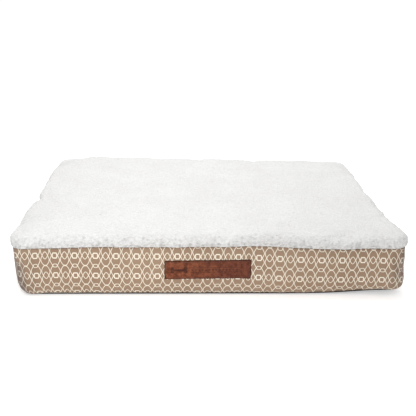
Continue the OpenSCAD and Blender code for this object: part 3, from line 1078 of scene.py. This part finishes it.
def make_band(band):
    band.material = print_material()
    inside = band.s[np.abs(band.s) < BACK_START - 1 * MM]
    around = np.concatenate([[-BACK_START], inside, [BACK_START]])
    strip = band.panel("printed_boxing_strip", around, band.v, "boxing_strip")
    nearest = np.round(np.interp(around, band.s, np.arange(len(band.s)))).astype(int)
    mark(strip, "shaded", band.shaded[:, nearest])
    # The back strips cross the join of the two ends of the grid, so they are cut from the far side onward.
    across = spread(BACK_START, 2 * HALF_ROUND - BACK_START, BAND_STEP)
    above = spread(0, band.v_at(ZIP_HIGH), BACK_ROW)
    below = spread(band.v_at(ZIP_LOW), BAND_SECTION.length, BACK_ROW)
    band.panel("printed_back_upper", across, above, "back_strip_upper")
    band.panel("printed_back_lower", across, below, "back_strip_lower")


# ---- patch

BONE_X = -68 * MM
RULES_X = 16 * MM
PATCH_TILT = 0.009
PATCH_CORNER = 3 * MM
STITCH_INSET = 4 * MM
STITCH_PITCH = 4 * MM
STITCH_HALF = 1.6 * MM
PATCH_THREAD_R = 0.36 * MM


def bone_depth(x, z):
    """Distance to the outline of a plain bone, below 0 inside it."""
    x = x - BONE_X
    shape = np.maximum(np.abs(x) - 14 * MM, np.abs(z) - 2.6 * MM)
    for sx in (-1, 1):
        for sz in (-1, 1):
            knob = np.hypot(x - sx * 15.5 * MM, z - sz * 3.8 * MM) - 4.6 * MM
            shape = np.minimum(shape, knob)
    return shape


def rule_depth(x, z):
    """Distance to the plain rules and diamonds beside the bone."""
    u = np.abs(x - RULES_X)
    ends = u - 58 * MM
    rule = np.maximum(ends, np.abs(np.abs(z) - 5.6 * MM) - 0.8 * MM)
    step = np.abs(u % (8 * MM) - 4 * MM)
    diamond = (step + np.abs(z)) * 0.7 - 2.0 * MM
    return np.minimum(rule, np.maximum(diamond, ends))


def make_patch(band):
    size = PATCH_HIGH - PATCH_LOW
    middle = (PATCH_HIGH + PATCH_LOW) / 2
    half_w, half_h = size[0] / 2, size[2] / 2
    mid_v = band.v_at(middle[2])
    x, z = grid_of(spread(-half_w, half_w, 1.0 * MM), spread(-half_h, half_h, 1.0 * MM))
    cx = np.clip(np.abs(x) - half_w + PATCH_CORNER, 0, None)
    cz = np.clip(np.abs(z) - half_h + PATCH_CORNER, 0, None)
    longer = np.maximum(cx, cz)
    squeeze = np.where(longer > 0, longer / np.maximum(np.hypot(cx, cz), 1e-9), 1)
    x = np.where(cx > 0, np.sign(x) * (half_w - PATCH_CORNER + cx * squeeze), x)
    z = np.where(cz > 0, np.sign(z) * (half_h - PATCH_CORNER + cz * squeeze), z)
    edge = np.minimum(half_w - np.abs(x), half_h - np.abs(z))
    thick = size[1] * (0.55 + 0.45 * np.sqrt(np.clip(edge / (1.6 * MM), 0, 1)))
    groove = 0.3 * MM * hill(edge, STITCH_INSET, 0.9 * MM)
    pressed = step_up(-bone_depth(x, z), -0.4 * MM, 0.5 * MM)
    pressed = np.maximum(pressed, 0.8 * step_up(-rule_depth(x, z), -0.4 * MM, 0.4 * MM))
    height = thick - groove - 0.45 * MM * pressed + 0.08 * MM * noise_at(x, z, 3 * MM, 31)
    places, normals = band.at(x + middle[0], mid_v - z - PATCH_TILT * x)
    outer = places + normals * (height + 0.15 * MM)[..., None]
    under = places + normals * (0.1 * MM)
    rows, columns = x.shape
    count = rows * columns
    faces = grid_faces(rows, columns) + grid_faces(rows, columns, count, flip=True)
    rim, back = border_ids(rows, columns), border_ids(rows, columns, count)
    faces += [(back[k - 1], back[k], rim[k], rim[k - 1]) for k in range(len(rim))]
    points = np.concatenate([outer.reshape(-1, 3), under.reshape(-1, 3)])
    obj = piece("leather_front_patch", points, faces, leather_material())
    dark = np.maximum(pressed, hill(edge, 0, 2.4 * MM))
    mark(obj, "pressed", np.concatenate([dark, dark]))
    declare(obj, "leather_patch")

    run_w, run_h = half_w - STITCH_INSET, half_h - STITCH_INSET
    half_pitch = STITCH_PITCH / 2
    stitches = []
    for sz in (-1, 1):
        stitches += [((u, sz * run_h), (1, 0)) for u in np.arange(-run_w + half_pitch, run_w, STITCH_PITCH)]
    for sx in (-1, 1):
        stitches += [((sx * run_w, u), (0, 1)) for u in np.arange(-run_h + half_pitch, run_h, STITCH_PITCH)]
    reach = np.linspace(-STITCH_HALF, STITCH_HALF, 6)
    lift = size[1] + 0.15 * MM - 0.35 * MM * (np.abs(reach) / STITCH_HALF) ** 2
    paths = []
    for (u, w), (du, dw) in stitches:
        along, across = u + du * reach, w + dw * reach
        spot, normal = band.at(middle[0] + along, mid_v - across - PATCH_TILT * along)
        paths.append(spot + normal * lift[:, None])
    thread = thread_material("patch_thread", (0.05, 0.018, 0.012), (0.12, 0.045, 0.03))
    stitching = piece("patch_stitches", *tube_mesh(paths, PATCH_THREAD_R), thread)
    declare(stitching, "patch_stitching")


# ---- base

BASE_TURN_UP_DEGREES = 34
BASE_LIFT = 0.5 * MM
BASE_STEP = 6 * MM
BASE_THICK = 1.2 * MM
BASE_LOWEST = 0.3 * MM
# Each ring of a dot: its share of the radius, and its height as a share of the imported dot's height.
DOT_RINGS = ((0.9, 1.3), (1.0, 1.0), (0.92, 0.45), (0.7, 0.12), (0.35, 0.0))
DOT_R = 5 * MM
DOT_COLUMNS = 15
DOT_ROWS = 11
DOT_SIDES = 20


def make_base():
    """Dark base cloth, turned up over the foot of the band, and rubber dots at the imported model's spacing."""
    radius = HEM_R + BASE_LIFT
    section = Section(bow(-HEM_R, BASE_Z + HEM_R, radius, radius, BASE_TURN_UP_DEGREES - 90, -90))
    rim = CORNER_R + section.out[-1] + section.length
    a, b, places = wrapped(rim, section, BASE_STEP)
    grid_a, grid_b = grid_of(a, b)
    points = settled(places)
    inset = np.minimum(a[-1] - np.abs(grid_a), b[-1] - np.abs(grid_b))
    slack = step_up(inset, 0.02, 0.05) * (0.35 + 0.35 * noise_at(grid_a, grid_b, 0.05, 41))
    points[..., 2] = np.maximum(points[..., 2] + slack * MM, BASE_LOWEST)
    uv = np.stack([grid_a, grid_b], -1)
    dark_cloth = cloth_material("base_cloth", (0.03, 0.027, 0.025), (0.06, 0.055, 0.05), 0.9 * MM)
    cloth = sheet_piece("base_cloth", points[::-1], BASE_THICK, dark_cloth, uv[::-1])
    declare(cloth, "bottom_panel")

    low, high = bounds_of("grip_dots")
    turn = np.arange(DOT_SIDES) * 2 * math.pi / DOT_SIDES
    around = [(k, (k + 1) % DOT_SIDES) for k in range(DOT_SIDES)]
    dot = np.concatenate([
        np.stack([share * DOT_R * np.cos(turn), share * DOT_R * np.sin(turn), turn * 0 + level * high[2]], -1)
        for share, level in DOT_RINGS
    ])
    points, faces = [], []
    for x in np.linspace(low[0] + DOT_R, high[0] - DOT_R, DOT_COLUMNS):
        for y in np.linspace(low[1] + DOT_R, high[1] - DOT_R, DOT_ROWS):
            start, stop = len(points), len(points) + len(dot)
            points += (settled(np.array([x, y, 0.0])) + dot).tolist()
            for one in range(start, stop - DOT_SIDES, DOT_SIDES):
                two = one + DOT_SIDES
                faces += [(one + after, one + k, two + k, two + after) for k, after in around]
            faces.append([start + k for k in range(DOT_SIDES)])
            faces.append([stop - 1 - k for k in range(DOT_SIDES)])
    dots = piece("grip_dot_domes", points, faces, rubber_material())
    declare(dots, "grip_dots")


# ---- zip and care label

def back_distance(x):
    """Distance round the band of a point at x on the back face."""
    return np.where(np.asarray(x) < 0, -1, 1) * (HALF_ROUND - np.abs(x))


def back_sheet(name, node, slot, material, low, high, step, sag=0.0):
    """Thin cloth that faces the back, between two corners."""
    z, x = grid_of(spread(low[2], high[2], step), spread(low[0], high[0], step))
    ripple = sag * noise_at(x, z, 0.02, 51)
    places = np.stack([x, high[1] + ripple, z], -1)
    obj = sheet_piece(name, places, high[1] - low[1], material, np.stack([x, z], -1))
    declare(obj, node)


def rounded_blocks(name, blocks, radius, material):
    """One piece made of boxes with rounded edges."""
    shape = bmesh.new()
    for low, high in blocks:
        size, middle = np.subtract(high, low), np.add(high, low) / 2
        place = Matrix.Translation(middle.tolist()) @ Matrix.Diagonal((*size.tolist(), 1.0))
        bmesh.ops.create_cube(shape, size=1.0, matrix=place)
    bmesh.ops.bevel(shape, geom=shape.edges[:], offset=radius, segments=3, affect="EDGES", profile=0.5)
    mesh = bpy.data.meshes.new(name)
    shape.to_mesh(mesh)
    shape.free()
    return new_object(name, mesh, material)


COIL_PITCH = 1.6 * MM
COIL_WIRE = 0.3 * MM
COIL_POINTS = 8
COIL_SIDES = 5
ZIP_STITCH_PITCH = 4 * MM
ZIP_STITCH_HALF = 1.5 * MM
ZIP_THREAD_R = 0.3 * MM
STOP_WIDTH = 3 * MM
STOP_GAP = 0.3 * MM


def make_coil(node, side, material):
    """Nylon filament wound along one edge of the chain."""
    low, high = bounds_of(node)
    middle = (low + high) / 2
    turns = (high[0] - low[0]) / COIL_PITCH
    phase = np.linspace(0, 2 * math.pi * turns, round(turns * COIL_POINTS) + 1)
    path = np.stack([
        np.linspace(low[0] + COIL_WIRE, high[0] - COIL_WIRE, len(phase)),
        middle[1] + ((high[1] - low[1]) / 2 - COIL_WIRE) * np.cos(phase),
        middle[2] + side * ((high[2] - low[2]) / 2 - COIL_WIRE) * np.sin(phase),
    ], -1)
    filament = piece(f"{node}_filament", *tube_mesh([path], COIL_WIRE, COIL_SIDES), material)
    declare(filament, node)


def make_zip(band):
    tape = cloth_material("zip_tape", (0.30, 0.205, 0.135), (0.38, 0.27, 0.185), 0.9 * MM)
    coil = coil_material()
    for side, part in ((1, "upper"), (-1, "lower")):
        node = f"zipper_tape_{part}"
        back_sheet(f"zip_tape_{part}", node, "zip_tape", tape, *bounds_of(node), 4 * MM)
        make_coil(f"zipper_coil_{part}", side, coil)

    low, high = bounds_of("zipper_stops")
    blocks = []
    for x in (low[0], high[0] - STOP_WIDTH):
        for z0, z1 in ((low[2], ZIP_Z - STOP_GAP), (ZIP_Z + STOP_GAP, high[2])):
            blocks.append(((x, low[1], z0), (x + STOP_WIDTH, high[1], z1)))
    metal = metal_material()
    declare(rounded_blocks("zip_stop_blocks", blocks, 0.5 * MM, metal), "zipper_stops")
    for node in ("zipper_slider", "zipper_pull_tab"):
        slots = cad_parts[node].data.materials
        slots.clear()
        slots.append(metal)

    low, high = bounds_of("zipper_end_tabs")
    inner = bounds_of("zipper_stops")[1][0]
    for name, x0, x1 in (("zip_end_tab_left", low[0], -inner), ("zip_end_tab_right", inner, high[0])):
        back_sheet(
            name, "zipper_end_tabs", "printed_cloth", band.material,
            (x0, high[1] - BAND_CLOTH, low[2]), (x1, high[1], high[2]), 2 * MM, 0.25 * MM,
        )

    thread = thread_material("cover_thread", (0.42, 0.31, 0.21), (0.56, 0.43, 0.31))
    low, high = bounds_of("zipper_topstitching")
    half_stitch = ZIP_STITCH_HALF
    reach = np.linspace(-half_stitch, half_stitch, 6)
    lift = 0.22 * MM - 0.3 * MM * (np.abs(reach) / half_stitch) ** 3
    paths = []
    for z in (low[2] + 0.3 * MM, high[2] - 0.3 * MM):
        for x in np.arange(low[0] + half_stitch, high[0], ZIP_STITCH_PITCH):
            spot, normal = band.at(back_distance(x + reach), np.full(6, band.v_at(z)))
            paths.append(spot + normal * lift[:, None])
    stitches = piece("zip_topstitches", *tube_mesh(paths, ZIP_THREAD_R), thread)
    declare(stitches, "zipper_topstitching")


def make_label(band):
    """Blank satin label that hangs from the top seam and curls a little at its foot."""
    low, high = bounds_of("care_label")
    step = 1.5 * MM
    drop, x = grid_of(spread(0, high[2] - low[2], step), spread(low[0], high[0], step))
    spot, normal = band.at(back_distance(x), drop)
    share = drop / drop.max()
    lift = 0.7 * MM + 2.6 * MM * share**2 + 0.5 * MM * noise_at(x, drop, 0.012, 61) * share
    places = spot + normal * lift[..., None]
    satin = cloth_material("label_satin", (0.72, 0.71, 0.68), (0.82, 0.81, 0.79), 0.35 * MM, 0.4, 0.00008)
    label = sheet_piece("care_label_blank", places, high[1] - low[1], satin, np.stack([x, drop], -1))
    declare(label, "care_label")


# ---- bindings and filling

TAPE_THICK = 0.8 * MM
TAPE_WIDTH = 12 * MM


def make_bindings(band):
    tape = cloth_material("binding_tape", (0.05, 0.045, 0.042), (0.09, 0.082, 0.075), 0.8 * MM)
    low, high = bounds_of("top_seam_binding")
    v, s = grid_of(spread(0.5 * MM, high[2] - low[2], 3 * MM), band.s[:-1])
    spot, normal = band.at(s, v)
    places = spot - normal * (BAND_CLOTH + 0.3 * MM)
    top = sheet_piece("top_seam_tape", places, TAPE_THICK, tape, np.stack([s, v], -1))
    declare(top, "top_seam_binding")

    low, high = bounds_of("bottom_seam_binding")
    v, s = grid_of(spread(0, TAPE_WIDTH, 3 * MM), band.s[:-1])
    foot, outward = track(s)
    flat = foot + outward * (CORNER_R - HEM_R - v)[..., None]
    places = settled(np.concatenate([flat, np.full_like(v, low[2] + 1.0 * MM)[..., None]], -1))
    lower = sheet_piece("bottom_seam_tape", places[::-1], TAPE_THICK, tape, np.stack([s, v], -1)[::-1])
    declare(lower, "bottom_seam_binding")


def filling_side(out, middle, level, edge, step, relief=None):
    """Upper or lower face of a filling: a grid from its rim at height middle, over its edge, to its level."""
    rise = level - middle
    turn = 1 if rise > 0 else -1
    section = Section(
        np.array([(out, middle), (out, level - turn * edge)]),
        bow(out - edge, level - turn * edge, edge, edge, 0, 90 * turn, 10),
    )
    rim = CORNER_R + section.out[-1] + section.length
    a, b, points = wrapped(rim, section, step)
    if relief:
        points[..., 2] += relief(points[..., 0], points[..., 1])
    return settled(points), (a, b)


def filling_piece(name, node, material, lower_edge, upper_edge, step, relief=None):
    """Closed soft block that fills a node's box."""
    low, high = bounds_of(node)
    out, middle = high[0] - HALF_X, (low[2] + high[2]) / 2
    upper, _ = filling_side(out, middle, high[2], upper_edge, step, relief)
    lower, _ = filling_side(out, middle, low[2], lower_edge, step)
    count = upper.shape[0] * upper.shape[1]
    faces = grid_faces(*upper.shape[:2]) + grid_faces(*lower.shape[:2], offset=count, flip=True)
    faces += zip_rims(border_ids(*upper.shape[:2]), border_ids(*lower.shape[:2], offset=count))
    obj = piece(name, np.concatenate([upper.reshape(-1, 3), lower.reshape(-1, 3)]), faces, material)
    declare(obj, node)


def zip_rims(one, two):
    """Faces between two closed rims that may have different numbers of points."""
    faces, i, j = [], 0, 0
    while i < len(one) or j < len(two):
        a, b = one[i % len(one)], two[j % len(two)]
        if j >= len(two) or (i < len(one) and i * len(two) <= j * len(one)):
            faces.append((a, b, one[(i + 1) % len(one)]))
            i += 1
        else:
            faces.append((a, b, two[(j + 1) % len(two)]))
            j += 1
    return faces


PEG_PITCH = 62 * MM
PEG_HEIGHT = 26 * MM


def egg_crate_relief(x, y):
    """Depth under the peg tops, for pegs at whole steps from the middle and none near the sides."""
    peg = 0.25 * (1 + np.cos(2 * math.pi * x / PEG_PITCH)) * (1 + np.cos(2 * math.pi * y / PEG_PITCH))
    inside = (np.abs(x) < 6.5 * PEG_PITCH) & (np.abs(y) < 4.5 * PEG_PITCH)
    return PEG_HEIGHT * (np.where(inside, peg, 0) - 1)


def make_filling():
    foam = foam_material("support_foam", (0.78, 0.74, 0.55), (0.84, 0.80, 0.63))
    crate = foam_material("crate_foam", (0.74, 0.76, 0.80), (0.81, 0.83, 0.86))
    wadding = fleece_material("wadding")
    thin = 1 * MM
    filling_piece("foam_slab", "foam_base", foam, 11 * MM, thin, 16 * MM)
    relief = egg_crate_relief
    filling_piece("foam_crate", "foam_egg_crate", crate, thin, thin, 6.2 * MM, relief)
    filling_piece(
        "fibre_pad", "fibre_wadding", wadding, 1 * MM, 8 * MM, 10 * MM,
        lambda x, y: 1.0 * MM * (noise_at(x, y, 0.03, 71) - 1),
    )

    film = film_material()
    low, high = bounds_of("inner_liner")
    out = high[0] - HALF_X
    for name, level, edge in (("liner_film_upper", high[2], 8 * MM), ("liner_film_lower", low[2], 12 * MM)):
        half, (a, b) = filling_side(out, ZIP_Z, level, edge, 10 * MM)
        flip = level < ZIP_Z
        uv = np.stack(grid_of(a, b), -1)
        obj = sheet_piece(name, half[::-1] if flip else half, 0.5 * MM, film, uv[::-1] if flip else uv)
        declare(obj, "inner_liner")


# ---- make everything

def make_all():
    make_camera()
    make_studio()
    fleece_sim, band_sim = fill_out()
    make_fleece(fleece_sim)
    band = Band(band_sim)
    make_band(band)
    make_patch(band)
    make_base()
    make_zip(band)
    make_label(band)
    make_bindings(band)
    make_filling()


make_all()
